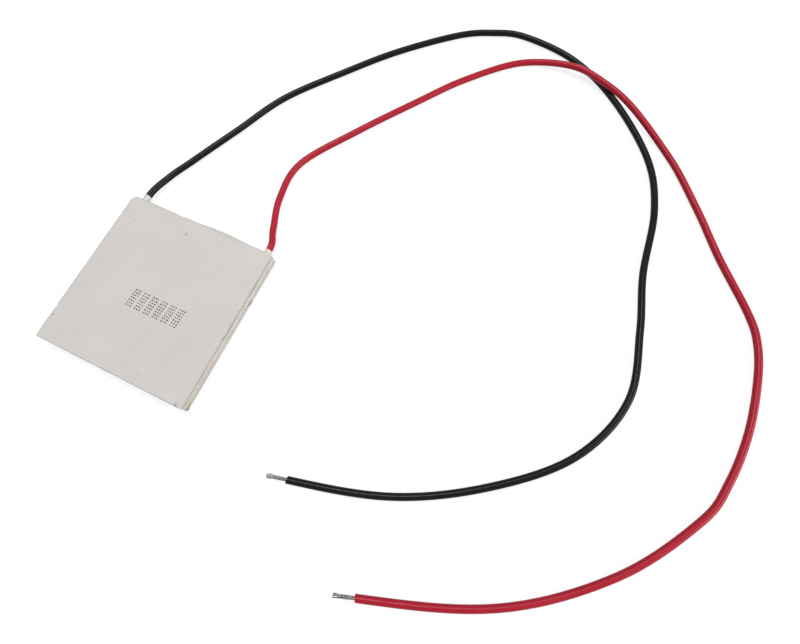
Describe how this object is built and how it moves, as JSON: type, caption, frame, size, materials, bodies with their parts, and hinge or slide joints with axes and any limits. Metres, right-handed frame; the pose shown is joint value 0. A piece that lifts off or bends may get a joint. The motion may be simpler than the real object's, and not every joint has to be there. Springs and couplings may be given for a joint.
{
  "type": "thermoelectric cooling module",
  "caption": "Flat square Peltier cooler: pellets and copper tabs between two ceramic plates, sealed round the edge, with a black and a red lead.",
  "frame": {"origin": "centre of the hot face, on the surface that the module and its leads lie on", "axes": "+Z from the hot face to the cold face, +Y towards the edge that the leads leave over, +X towards the red lead's side of that edge"},
  "size_m": [0.1508, 0.1462, 0.0039],
  "materials": {
    "alumina": "ground white alumina, matt",
    "copper": "bright copper",
    "p_telluride": "dull grey bismuth telluride",
    "n_telluride": "dull grey bismuth telluride",
    "solder": "soft solder",
    "sealant": "cream silicone sealant, matt",
    "sleeve_sealant": "white silicone sealant, satin",
    "black_insulation": "black insulation, satin",
    "red_insulation": "red insulation, satin",
    "tinned_strands": "tinned copper strands"
  },
  "bodies": {
    "root": {"cold_plate": "alumina", "hot_plate": "alumina", "cold_tabs": "copper", "hot_tabs": "copper", "black_terminal": "copper", "red_terminal": "copper", "p_pellets": "p_telluride", "n_pellets": "n_telluride", "cold_solder": "solder", "hot_solder": "solder", "black_solder_joint": "solder", "red_solder_joint": "solder", "edge_sealant": "sealant", "black_core": "tinned_strands", "red_core": "tinned_strands", "black_sleeve": "sleeve_sealant", "red_sleeve": "sleeve_sealant", "black_lead": "black_insulation", "red_lead": "red_insulation", "black_bare_end": "tinned_strands", "red_bare_end": "tinned_strands"}
  },
  "joints": []
}
